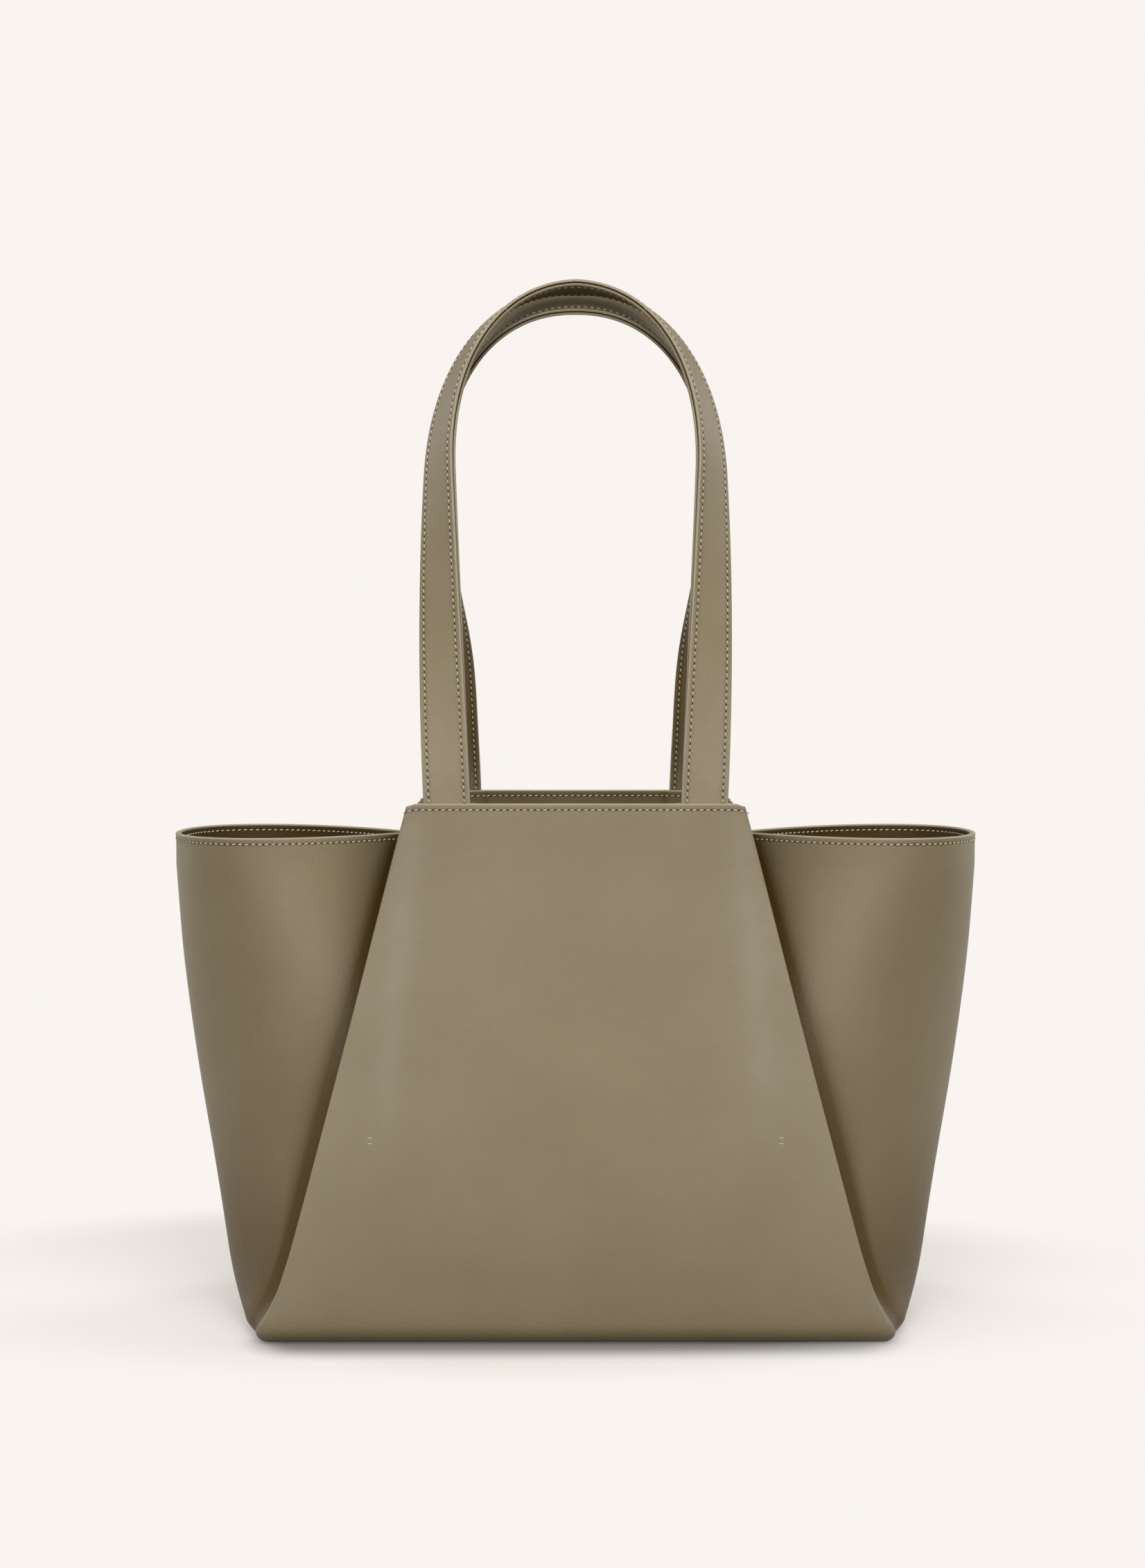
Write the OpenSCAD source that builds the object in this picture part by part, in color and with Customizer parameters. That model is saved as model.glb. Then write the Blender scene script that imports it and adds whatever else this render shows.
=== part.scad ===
// Trapeze bag: stiff leather panels, folded side wings and two twisted strap handles.
// X runs across the bag, Y from front to back, Z up from the floor. The origin is at the
// middle of the base.

/* [Panels] */
// Height of the front and back panels
panel_h = 295; // [275:1:315]
// Width of each panel along its top edge, from fold to fold
panel_top_w = 181; // [172:1:190]
// Width of the base from side to side
base_w = 360; // [345:1:375]
// Depth of the base from front to back
base_d = 150; // [135:1:165]
// Radius where the walls turn under the bag
turn_r = 12; // [10:0.5:13]

/* [Wings] */
// Height of the wings at their mouth
wing_h = 275; // [255:1:276]
// Width of the bag across the wing tips
wing_w = 457; // [440:1:480]
// Space between the front and back folds at the neck of a wing
neck_gap = 12; // [11:1:20]
// Height of the tacks that hold the lower folds
tack_z = 113; // [105:1:120]
// How far the fold leans in behind its panel at the tacks, in degrees
tack_lean = 58; // [50:1:66]

/* [Leather] */
// Thickness of the outer leather
leather_t = 1.5; // [1.3:0.1:1.7]
// Thickness of the lining leather
lining_t = 1.4; // [1.2:0.1:1.5]
// Thickness of the board inside the base
board_t = 2; // [1.5:0.1:2.5]

/* [Handles] */
// Width of the strap
strap_w = 25; // [20:0.5:27]
// Thickness of the strap, both layers together
strap_t = 3.9; // [3.4:0.1:4.2]
// Distance between the middle lines of a handle's two legs at the panel
leg_gap = 138.4; // [130:0.2:144]
// Width of a handle's arch between its middle lines
arch_w = 148.4; // [142:0.2:152]
// Length of the front handle from the panel to the top of its arch
front_h = 285.8; // [282:0.2:290]
// Length of the back handle from the panel to the top of its arch
back_h = 289.5; // [280:0.2:288.4]
// How far the front handle leans back, in degrees
front_lean = 9.5; // [8.5:0.1:9.5]
// How far the back handle leans forward, in degrees
back_lean = 18.5; // [18:0.1:19.5]

/* [Hidden] */

half_d = base_d / 2;
glue_gap = 0.2;
lining_0 = leather_t + glue_gap;
lining_1 = lining_0 + lining_t;

// Folded side of a panel: how the crease flares at the foot and how wide the fold is.
flare = 11;
crease_foot = base_w / 2 - flare;
flare_h = 60;
flare_power = 2.8;
fold_w_foot = 14;
fold_w_top = half_d - neck_gap / 2;
fold_w_power = 1.3;
crease_r = 2;
corner_r = 12;
corner_h = 40;
corner_steps = 4;
bend_share = 0.03;
foot_angle = 8;
foot_h = 30;
seam_step = 1.5;

// Wing outline in plan, from the seam to the tip: two control points of a curve.
tip_power = 0.525;
tip_back = 11;
reach_foot = 8;
reach_top = 57;
reach_power = 1.5;
bulge_foot_share = 0.5;
bulge_top_share = 1.087;
round_foot_share = 0.3;
round_top_share = 1.053;
wing_steps = 11;
wing_step_power = 1.15;
slope_step = 0.01;
bulge_power = 0.6;
round_power = 1.4;
body_steps = 15;
turn_steps = 6;
foot_steps = 3;

// Base layers and where the wall linings start above them.
board_z = leather_t + glue_gap;
base_lining_z = board_z + board_t + glue_gap;
corner_gap = 1;
base_fit = 0.5;
wall_lining_z = base_lining_z + lining_t + glue_gap;

// Straps where they enter the top of the panels.
strap_y = half_d - lining_0 - strap_t / 2;
end_depth = 32;
end_rise = 7;
cap_margin = 3;
cap_t = 1.2;
fit = 0.15;
hinge_gap = 0.3;
face_part = 0.5;
handle_foot = end_rise + hinge_gap;
lean_l = 12.7;
leg_steps = 9;
arch_steps = 16;
arch_power = 2.17;
front_arch_h = 106.6;
back_arch_h = 93;
front_twist_l = 316;
front_twist_power = 1;
front_roll = -6.5;
back_twist_l = 174;
back_twist_power = 2.1;
back_roll = 12;
roll_start = 0.55;

// Short bar tacks on the panels.
tack_inset = 28;
tack_l = 3;
tack_d = 1.2;
tack_gap = 3.4;

leather_colour = [0.55, 0.50, 0.41];
lining_colour = [0.33, 0.28, 0.19];
board_colour = [0.62, 0.55, 0.45];
thread_colour = [0.60, 0.55, 0.46];

function mix(a, b, f) = a + (b - a) * f;
function left_of(v) = [-v[1], v[0]];
function unit(v) = v / norm(v);
function flatten(list) = [for (row = list) for (item = row) item];

// Where the walls stand in plan at height z.
function crease_x(z) =
    crease_foot + (panel_top_w / 2 - crease_foot) * z / panel_h
    + flare * pow(max(0, 1 - z / flare_h), flare_power);
function tip_x(z) = mix(base_w / 2, wing_w / 2, pow(z / wing_h, tip_power));
function fold_in(z) =
    z < tack_z ? pow(sin(90 * z / tack_z), 2)
    : z < wing_h ? pow(cos(90 * (z - tack_z) / (wing_h - tack_z)), 2)
    : 0;
function fold_turn(z) = 90 - tack_lean * fold_in(z) + foot_angle * pow(max(0, 1 - z / foot_h), 2);
function fold_w(z) = mix(fold_w_foot, fold_w_top, pow(z / wing_h, fold_w_power));
function fold_r(z, q) = max(crease_r, mix(corner_r, crease_r, min(1, z / corner_h)) - q);
function crease(z) = [crease_x(z), -half_d];
function valley(z) = crease(z) + fold_w(z) * [-cos(fold_turn(z)), sin(fold_turn(z))];

// Front half of the right wing in plan, as a cubic curve that ends square to the tip. The
// tip stands a little behind the middle of the bag, so the back half takes shift as less
// than nothing and is then turned over.
function reach(z) = mix(reach_foot, reach_top, pow(z / wing_h, reach_power));
function bulge(z) =
    half_d * mix(bulge_foot_share, bulge_top_share, pow(z / wing_h, bulge_power));
function roundness(z) =
    half_d * mix(round_foot_share, round_top_share, pow(z / wing_h, round_power));
function wing_curve(z, f, shift = 0) =
    let (tip_y = shift * z / wing_h)
    pow(1 - f, 3) * valley(z)
    + 3 * pow(1 - f, 2) * f * [valley(z)[0] + reach(z), -bulge(z)]
    + 3 * (1 - f) * f * f * [tip_x(z), tip_y - roundness(z)]
    + pow(f, 3) * [tip_x(z), tip_y];

// How far a skin that lies t inside the outer face stands back at height z, round the turn
// under the bag.
function inset(t, z) =
    z >= turn_r ? t : turn_r - sqrt(max(0, pow(turn_r - t, 2) - pow(turn_r - z, 2)));
function turn_z(t, f) = turn_r - (turn_r - t) * cos(90 * f);

// Inward direction at the seam between a fold and its wing.
function seam_dir(z) =
    unit(left_of(unit(valley(z) - crease(z))) + left_of(unit(wing_curve(z, slope_step) - valley(z))));

// Where the inner lines of a panel and its fold cross, q inside the outer face.
function fold_corner(z, q) =
    let (turn = fold_turn(z))
    crease(z) + q * [-(1 + cos(turn)) / sin(turn), 1];

// One half of a panel in plan at height z, q inside its outer face: the middle, the crease
// and the fold, up to the seam. Each point carries its share of the way along the fold.
function half_panel(z, q) =
    let (
        corner = fold_corner(z, q),
        along = unit(valley(z) - crease(z)),
        r = fold_r(z, q),
        bend_start = corner - [r, 0],
        bend_end = corner + r * along,
        seam_near = valley(z) - seam_step * along + q * left_of(along)
    )
    concat(
        [[0, corner[1], 0], [corner[0] * 0.5, corner[1], 0]],
        [for (i = [0:corner_steps])
            let (f = i / corner_steps)
            concat(mix(mix(bend_start, corner, f), mix(corner, bend_end, f), f), [bend_share * f])],
        [
            concat((bend_end + seam_near) / 2, [0.5]),
            concat(seam_near, [1 - bend_share]),
            concat(valley(z) + q * seam_dir(z), [1])
        ]
    );

// The right wing in plan at height z from its front seam to its tip.
function half_wing(z, q, shift) = [
    for (i = [0:wing_steps])
        let (
            f = pow(i / wing_steps, wing_step_power),
            here = wing_curve(z, f, shift),
            ahead = wing_curve(z, min(1, f + slope_step), shift),
            behind = wing_curve(z, max(0, f - slope_step), shift),
            inward = i == wing_steps ? [-1, 0]
                : i == 0 ? seam_dir(z)
                : left_of(unit(ahead - behind))
        )
        here + q * inward
];

function mirror_y(points) = [for (i = [len(points) - 1:-1:0]) [points[i][0], -points[i][1]]];

// Heights of a skin's rows: round the turn under the bag, then evenly up to the top edge.
function rows(t, foot_z, top_z) =
    concat(
        foot_z < 0
            ? [for (i = [0:turn_steps - 1]) turn_z(t, i / turn_steps)]
            : [for (i = [0:foot_steps - 1]) mix(foot_z, turn_r, i / foot_steps)],
        [for (i = [0:body_steps]) mix(turn_r, top_z, i / body_steps)]
    );

// Top edge of the panel leather, which falls from the crease to the neck along the fold.
function edge_z(share) = mix(panel_h, wing_h, share);

// Grids of points for a panel and for a wing, one row for each height.
function panel_half_grid(t, foot_z) = [
    for (j = [0:len(half_panel(turn_r, 0)) - 1])
        let (top_z = edge_z(half_panel(turn_r, 0)[j][2]))
        [for (z = rows(t, foot_z, top_z))
            let (p = half_panel(z, inset(t, z))[j]) [p[0], p[1], z]]
];
function transpose(grid) = [
    for (i = [0:len(grid[0]) - 1]) [for (j = [0:len(grid) - 1]) grid[j][i]]
];
function flip(columns) = [
    for (j = [len(columns) - 1:-1:1]) [for (p = columns[j]) [-p[0], p[1], p[2]]]
];
function panel_grid(t, foot_z) =
    let (right = panel_half_grid(t, foot_z)) transpose(concat(flip(right), right));
function wing_grid(t, foot_z) = [
    for (z = rows(t, foot_z, wing_h))
        let (
            front = half_wing(z, inset(t, z), tip_back),
            back = mirror_y(half_wing(z, inset(t, z), -tip_back)),
            ring = concat(front, [for (i = [1:len(back) - 1]) back[i]])
        )
        [for (p = ring) [p[0], p[1], z]]
];

// A closed sheet between an outer and an inner grid of points.
module sheet(outer, inner) {
    m = len(outer);
    n = len(outer[0]);
    function at(s, i, j) = s * m * n + i * n + j;
    function quad(a, b, c, d) = [[a, b, c], [a, c, d]];
    faces = concat(
        [for (i = [0:m - 2]) for (j = [0:n - 2])
            each quad(at(0, i, j), at(0, i + 1, j), at(0, i + 1, j + 1), at(0, i, j + 1))],
        [for (i = [0:m - 2]) for (j = [0:n - 2])
            each quad(at(1, i, j), at(1, i, j + 1), at(1, i + 1, j + 1), at(1, i + 1, j))],
        [for (j = [0:n - 2])
            each quad(at(0, 0, j), at(0, 0, j + 1), at(1, 0, j + 1), at(1, 0, j))],
        [for (j = [0:n - 2])
            each quad(at(0, m - 1, j), at(1, m - 1, j), at(1, m - 1, j + 1), at(0, m - 1, j + 1))],
        [for (i = [0:m - 2])
            each quad(at(0, i, 0), at(1, i, 0), at(1, i + 1, 0), at(0, i + 1, 0))],
        [for (i = [0:m - 2])
            each quad(at(0, i, n - 1), at(0, i + 1, n - 1), at(1, i + 1, n - 1), at(1, i, n - 1))]
    );
    polyhedron(points = concat(flatten(outer), flatten(inner)), faces = faces, convexity = 6);
}

module panel_sheet(t0, t1, foot_z = -1) {
    sheet(panel_grid(t0, foot_z), panel_grid(t1, foot_z));
}

module wing_sheet(t0, t1, foot_z = -1) {
    sheet(wing_grid(t0, foot_z), wing_grid(t1, foot_z));
}

// Outline of a flat sheet in the base in plan, q inside the walls between heights z0 and z1.
function base_outline(z0, z1, q) =
    let (
        corner = fold_corner(z1, q),
        side = [for (p = half_wing(z0, q, 0)) if (p[1] > corner[1] + corner_gap) p],
        front_right = concat([corner], side),
        back_right = mirror_y(front_right),
        right = concat(front_right, [for (i = [1:len(back_right) - 1]) back_right[i]])
    )
    concat(right, [for (p = right) -p]);

module base_sheet(q, z, t) {
    translate([0, 0, z]) linear_extrude(t) polygon(base_outline(z, z + t, q));
}

// The two places where a handle's straps enter the front panel.
module at_strap_ends() {
    for (side = [-1, 1]) translate([side * leg_gap / 2, -strap_y, panel_h]) children();
}

module strap_end(clear = 0) {
    w = strap_w + 2 * clear;
    t = strap_t + 2 * clear;
    translate([-w / 2, -t / 2, -end_depth - clear]) cube([w, t, end_depth + end_rise + 2 * clear]);
}

// Lining of a panel, with a raised pocket over each strap end.
module panel_lining() {
    cap_w = strap_w + 2 * cap_margin;
    difference() {
        union() {
            panel_sheet(lining_0, lining_1, wall_lining_z);
            at_strap_ends()
                translate([-cap_w / 2, -strap_t / 2 + glue_gap, -end_depth - cap_margin])
                    cube([cap_w, strap_t + cap_t, end_depth + cap_margin]);
        }
        at_strap_ends() strap_end(fit);
    }
}

module fold_tacks() {
    for (side = [-1, 1]) for (row = [-0.5, 0.5])
        translate([side * (crease_x(tack_z) - tack_inset), -half_d, tack_z + row * tack_gap])
            rotate([0, 90, 0])
                difference() {
                    cylinder(d = tack_d, h = tack_l, center = true, $fn = 24);
                    translate([-tack_d, 0, -tack_l]) cube([2 * tack_d, tack_d, 2 * tack_l]);
                }
}

// Middle line of a handle's right leg and arch in its own plane, from the foot of the leg to
// the top of the arch.
function leg_x(f) = leg_gap / 2 + (arch_w - leg_gap) / 2 * sin(90 * min(1, f));
function arch_point(leg_h, arch_h, a) = [
    arch_w / 2 * pow(max(0, cos(a)), 2 / arch_power),
    leg_h + arch_h * pow(max(0, sin(a)), 2 / arch_power)
];
function path_points(foot, leg_h, arch_h) = concat(
    [for (i = [0:leg_steps - 1])
        let (h = mix(foot, leg_h, i / leg_steps)) [leg_x(h / leg_h), h]],
    [for (i = [0:arch_steps]) arch_point(leg_h, arch_h, 90 * i / arch_steps)]
);
function lengths(points, i = 1, total = 0, list = [0]) =
    i == len(points) ? list
    : let (next = total + norm(points[i] - points[i - 1]))
      lengths(points, i + 1, next, concat(list, [next]));
function ease(f, sharp) = pow(f, sharp) / (pow(f, sharp) + pow(1 - f, sharp));

// A point of the strap section, b across it and n out of its face, at path point i.
function strap_point(points, runs, i, lean, twists, b, n) =
    let (
        p = points[i],
        before = points[max(0, i - 1)],
        after = i == len(points) - 1 ? [-points[i - 1][0], points[i - 1][1]] : points[i + 1],
        t = i == 0 ? [0, 1] : unit(after - before),
        above = p[1] - handle_foot,
        onset = 1 - exp(-above / lean_l),
        leaned = above - lean_l * onset,
        tilt = lean * onset,
        up = [0, sin(tilt), cos(tilt)],
        front = [0, -cos(tilt), sin(tilt)],
        out = t[1] * [1, 0, 0] - t[0] * up,
        late = max(0, runs[i] / runs[len(runs) - 1] - roll_start) / (1 - roll_start),
        roll = twists[2] * late * late * (3 - 2 * late),
        twist = 90 * ease(min(1, runs[i] / twists[0]), twists[1]) + roll,
        face = cos(twist) * front + sin(twist) * out,
        across = cos(twist) * out - sin(twist) * front,
        middle = [
            p[0],
            -strap_y + sin(lean) * leaned,
            panel_h + p[1] - (1 - cos(lean)) * leaned
        ]
    )
    middle + b * across + n * face;

// One layer of a handle from n0 to n1 through the strap's thickness, standing at the front.
// A pose holds the height of the legs and of the arch, the lean, and the length over which
// the strap twists with how sharply it does so.
module handle_layer(pose, n0, n1) {
    points = path_points(handle_foot, pose[0], pose[1]);
    runs = lengths(points);
    corners = [[-1, n0], [-1, n1], [1, n1], [1, n0]];
    right = [for (i = [0:len(points) - 1])
        [for (c = corners) strap_point(points, runs, i, pose[2], pose[3], c[0] * strap_w / 2, c[1])]];
    left = [for (i = [len(right) - 2:-1:0]) [for (p = right[i]) [-p[0], p[1], p[2]]]];
    rings = concat(right, left);
    count = len(rings);
    k = len(corners);
    faces = concat(
        [[for (c = [0:k - 1]) c]],
        [[for (c = [k - 1:-1:0]) (count - 1) * k + c]],
        [for (r = [0:count - 2]) for (c = [0:k - 1])
            let (
                a = r * k + c,
                b = r * k + (c + 1) % k,
                d = a + k,
                e = b + k
            )
            each c == k - 1 ? [[a, d, b], [d, e, b]] : [[a, d, e], [a, e, b]]]
    );
    polyhedron(points = flatten(rings), faces = faces, convexity = 6);
}

backing_n = strap_t * (0.5 - face_part);
front_pose = [
    front_h - front_arch_h, front_arch_h, front_lean,
    [front_twist_l, front_twist_power, front_roll]
];
back_pose = [back_h - back_arch_h, back_arch_h, back_lean, [back_twist_l, back_twist_power, back_roll]];

module handle_face(pose) handle_layer(pose, backing_n + glue_gap / 2, strap_t / 2);
module handle_backing(pose) handle_layer(pose, -strap_t / 2, backing_n - glue_gap / 2);

module front_panel() color(leather_colour) panel_sheet(0, leather_t);
module back_panel() color(leather_colour) rotate([0, 0, 180]) panel_sheet(0, leather_t);
module right_wing() color(leather_colour) wing_sheet(0, leather_t);
module left_wing() color(leather_colour) mirror([1, 0, 0]) wing_sheet(0, leather_t);
module base_panel() color(leather_colour) base_sheet(turn_r + base_fit, 0, leather_t);
module front_lining() color(lining_colour) panel_lining();
module back_lining() color(lining_colour) rotate([0, 0, 180]) panel_lining();
module right_wing_lining() color(lining_colour) wing_sheet(lining_0, lining_1, wall_lining_z);
module left_wing_lining()
    color(lining_colour) mirror([1, 0, 0]) wing_sheet(lining_0, lining_1, wall_lining_z);
module base_lining()
    color(lining_colour)
        base_sheet(inset(leather_t, base_lining_z) + base_fit, base_lining_z, lining_t);
module base_board()
    color(board_colour) base_sheet(turn_r + base_fit, board_z, board_t);
module front_fold_tacks() color(thread_colour) fold_tacks();
module back_fold_tacks() color(thread_colour) rotate([0, 0, 180]) fold_tacks();
module front_strap_ends() color(leather_colour) at_strap_ends() strap_end();
module back_strap_ends()
    color(leather_colour) rotate([0, 0, 180]) at_strap_ends() strap_end();
module front_handle_face() color(leather_colour) handle_face(front_pose);
module front_handle_backing() color(leather_colour) handle_backing(front_pose);
module back_handle_face() color(leather_colour) rotate([0, 0, 180]) handle_face(back_pose);
module back_handle_backing() color(leather_colour) rotate([0, 0, 180]) handle_backing(back_pose);

front_panel();
back_panel();
left_wing();
right_wing();
base_panel();
front_lining();
back_lining();
left_wing_lining();
right_wing_lining();
base_lining();
base_board();
front_fold_tacks();
back_fold_tacks();
front_strap_ends();
back_strap_ends();
front_handle_face();
front_handle_backing();
back_handle_face();
back_handle_backing();
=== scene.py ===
import math
import bmesh
import bpy
import numpy as np
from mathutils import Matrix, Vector


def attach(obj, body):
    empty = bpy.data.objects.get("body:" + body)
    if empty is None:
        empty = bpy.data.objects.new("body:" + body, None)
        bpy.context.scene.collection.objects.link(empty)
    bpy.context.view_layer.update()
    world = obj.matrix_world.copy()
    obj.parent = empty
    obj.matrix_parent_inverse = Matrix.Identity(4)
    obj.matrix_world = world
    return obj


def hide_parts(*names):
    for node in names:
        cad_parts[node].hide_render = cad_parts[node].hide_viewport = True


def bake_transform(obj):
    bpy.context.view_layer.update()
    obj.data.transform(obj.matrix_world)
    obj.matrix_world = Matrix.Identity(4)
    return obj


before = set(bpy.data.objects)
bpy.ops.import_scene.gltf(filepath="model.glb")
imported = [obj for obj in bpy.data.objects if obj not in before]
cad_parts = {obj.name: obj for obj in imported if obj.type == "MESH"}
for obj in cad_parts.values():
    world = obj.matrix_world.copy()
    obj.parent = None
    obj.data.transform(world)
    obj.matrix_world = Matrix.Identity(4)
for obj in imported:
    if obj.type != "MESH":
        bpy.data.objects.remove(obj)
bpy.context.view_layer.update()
mm = 0.001
print("frame loaded:", len(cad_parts), "nodes")


def newObject(name, data):
    made = bpy.data.objects.new(name, data)
    bpy.context.scene.collection.objects.link(made)
    return made


def newMesh(name, verts, faces, edges=()):
    mesh = bpy.data.meshes.new(name)
    mesh.from_pydata(verts, edges, faces)
    return mesh


def mark(mesh, name, values):
    field = mesh.attributes.new(name, "FLOAT", "POINT")
    field.data.foreach_set("value", values.reshape(-1).astype(np.float32))


# Camera, at the height and distance the photograph was taken from
camera = {
    "distance": 1.150,      # from the front panel
    "panelFront": 0.075,
    "height": 0.360,
    "aside": -0.0017,
    "tiltDown": 2.71,
    "focalShare": 3105 / 2262,      # focal length over the picture's height
    "sensorHeight": 24.0,
    "clipEnd": 50,
}


def addCamera(values):
    data = bpy.data.cameras.new("photoCamera")
    data.sensor_fit = "VERTICAL"
    data.sensor_height = values["sensorHeight"]
    data.lens = values["focalShare"] * values["sensorHeight"]
    data.clip_end = values["clipEnd"]
    obj = newObject("photoCamera", data)
    obj.location = (values["aside"], -values["panelFront"] - values["distance"], values["height"])
    obj.rotation_euler = (math.radians(90 - values["tiltDown"]), 0, 0)
    bpy.context.scene.camera = obj


addCamera(camera)


# Bag walls and straps: sizes in millimetres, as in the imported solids, with the soft forms added
bag = {
    "panelHeight": 295.0, "panelTop": 181.0,
    "baseWidth": 360.0, "baseDepth": 150.0, "turnRadius": 12.0,
    "wingHeight": 275.0, "wingWidth": 457.0, "neckGap": 12.0,
    "tackHeight": 113.0, "tackLean": 58.0, "tackInset": 28.0,
    "leather": 1.5, "lining": 1.4, "glue": 0.2, "board": 2.0,
    "flare": 11.0, "flareHeight": 60.0, "flarePower": 2.8,
    "foldFoot": 14.0, "foldPower": 1.3, "footAngle": 8.0, "footHeight": 30.0,
    "creaseRadius": 2.0, "cornerRadius": 12.0, "cornerHeight": 40.0, "seamStep": 1.5,
    "cornerCut": 2.0, "cornerCutHeight": 6.0, "cornerCutPower": 1.2,
    "tipPower": 0.525, "tipBack": 11.0, "reachFoot": 8.0, "reachTop": 57.0, "reachPower": 1.5,
    "bulgeFoot": 0.5, "bulgeTop": 1.087, "bulgePower": 0.6,
    "roundFoot": 0.3, "roundTop": 1.053, "roundPower": 1.4,
    "tipSwell": 2.7, "tipSwellAt": 190.0, "tipSwellSpread": 85.0, "tipSwellEnd": 255.0,      # fuller sides
    "footSwell": 3.4, "footSwellAt": 15.0, "footSwellSpread": 35.0,
    "cornerDrop": 0.9, "cornerRun": 2.4, "backCornerDrop": 4.6, "backCornerRun": 8.0, "backSpread": 1.6,
    "pillow": 0.9, "ripple": 0.22, "frontRipple": 0.7, "backRipple": 2.3, "wingRipple": 1.9,      # soft waves
    "rollHeight": 0.55, "rollWidth": 8.5, "rollInset": 3.0, "rollSlope": 0.17,      # roll inside each crease
    "hollow": 1.1, "hollowAt": 0.5, "hollowWidth": 0.12,      # soft upright hollow in each wing
    "pillowSpan": (10, 40, 235, 45), "rollSpan": (85, 80, 278, 14), "hollowSpan": (20, 60, 225, 45),
    "rimRadius": 0.45, "stitchInset": 3.4, "groove": 0.2,
}
strap = {
    "width": 25.0, "thickness": 3.9, "legGap": 138.4, "archWidth": 148.4,
    "frontLength": 285.8, "frontArch": 106.6, "frontLean": 9.5, "frontTwist": 316.0, "frontEase": 1.0,
    "frontRoll": -6.5,
    "backLength": 289.5, "backArch": 93.0, "backLean": 18.5, "backTwist": 174.0, "backEase": 2.1,
    "backRoll": 12.0, "rollFrom": 0.55,
    "foot": 7.3, "leanRun": 12.7, "archPower": 2.17, "endDepth": 32.0,
    "bendHeight": 24.0, "bendSteps": 40, "legSteps": 84, "archSteps": 70,
    "edgeRound": 0.55, "stitchInset": 3.0, "groove": 0.18, "crown": 0.12,
    "pocketGap": 0.15, "pocketEdge": 0.4, "pocketSlope": 5.5, "pocketBelow": 7.0, "pocketRise": 9.0,
}
halfDepth = bag["baseDepth"] / 2
creaseFoot = bag["baseWidth"] / 2 - bag["flare"]
foldTop = halfDepth - bag["neckGap"] / 2
lining0 = bag["leather"] + bag["glue"]
lining1 = lining0 + bag["lining"]
strapY = halfDepth - lining0 - strap["thickness"] / 2
baseLiningZ = bag["leather"] + bag["board"] + 2 * bag["glue"]
wallLiningZ = baseLiningZ + bag["lining"] + bag["glue"]


def mix(a, b, f):
    return a + (b - a) * f


def smooth(f):
    f = np.clip(f, 0, 1)
    return f * f * (3 - 2 * f)


def bell(f):
    return np.exp(-f ** 2)


# One from low plus rise up to high, fading to nothing at low and at high plus fall
def between(z, low, rise, high, fall):
    return smooth((z - low) / rise) * (1 - smooth((z - high) / fall))


def creaseX(z):
    foot = np.maximum(0, 1 - z / bag["flareHeight"])
    return (creaseFoot + (bag["panelTop"] / 2 - creaseFoot) * z / bag["panelHeight"]
            + bag["flare"] * foot ** bag["flarePower"]
            - bag["cornerCut"] * np.maximum(0, 1 - z / bag["cornerCutHeight"]) ** bag["cornerCutPower"])


def foldTurn(z):
    low = np.sin(math.pi / 2 * np.clip(z / bag["tackHeight"], 0, 1)) ** 2
    high = (z - bag["tackHeight"]) / (bag["wingHeight"] - bag["tackHeight"])
    lean = np.where(z < bag["tackHeight"], low, np.cos(math.pi / 2 * np.clip(high, 0, 1)) ** 2)
    foot = np.maximum(0, 1 - z / bag["footHeight"]) ** 2
    return np.radians(90 - bag["tackLean"] * lean + bag["footAngle"] * foot)


def foldWidth(z):
    return mix(bag["foldFoot"], foldTop, (np.maximum(z, 0) / bag["wingHeight"]) ** bag["foldPower"])


def valley(z):
    turn, width = foldTurn(z), foldWidth(z)
    return creaseX(z) - width * np.cos(turn), -halfDepth + width * np.sin(turn)


def wingCurve(z, f, shift):
    share = np.maximum(z, 0) / bag["wingHeight"]
    vx, vy = valley(z)
    tipX = mix(bag["baseWidth"] / 2, bag["wingWidth"] / 2, share ** bag["tipPower"])
    tipY = shift * share
    bulge = halfDepth * mix(bag["bulgeFoot"], bag["bulgeTop"], share ** bag["bulgePower"])
    roundness = halfDepth * mix(bag["roundFoot"], bag["roundTop"], share ** bag["roundPower"])
    a, b, c, d = (1 - f) ** 3, 3 * (1 - f) ** 2 * f, 3 * (1 - f) * f * f, f ** 3
    high = bag["tipSwell"] * bell((z - bag["tipSwellAt"]) / bag["tipSwellSpread"])
    low = bag["footSwell"] * bell((z - bag["footSwellAt"]) / bag["footSwellSpread"])
    swell = high * (1 - smooth((z - bag["tipSwellEnd"]) / 20)) + low * (0.45 + 0.55 * smooth((z + 4) / 22))
    reach = mix(bag["reachFoot"], bag["reachTop"], share ** bag["reachPower"])
    x = a * vx + b * (vx + reach) + (c + d) * tipX
    x = x + swell * smooth(f / 0.3)
    y = a * vy - b * bulge + c * (tipY - roundness) + d * tipY
    return x, y


def inset(t, z):
    r = bag["turnRadius"]
    under = r - np.sqrt(np.maximum(0, (r - t) ** 2 - (r - np.minimum(z, r)) ** 2))
    return np.where(z >= r, t, under)


def unit(x, y):
    size = np.hypot(x, y)
    return x / size, y / size


def seamDir(z):
    vx, vy = valley(z)
    ax, ay = unit(vx - creaseX(z), vy + halfDepth)
    wx, wy = wingCurve(z, 0.01, 0)
    bx, by = unit(wx - vx, wy - vy)
    return unit(-ay - by, ax + bx)


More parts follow.
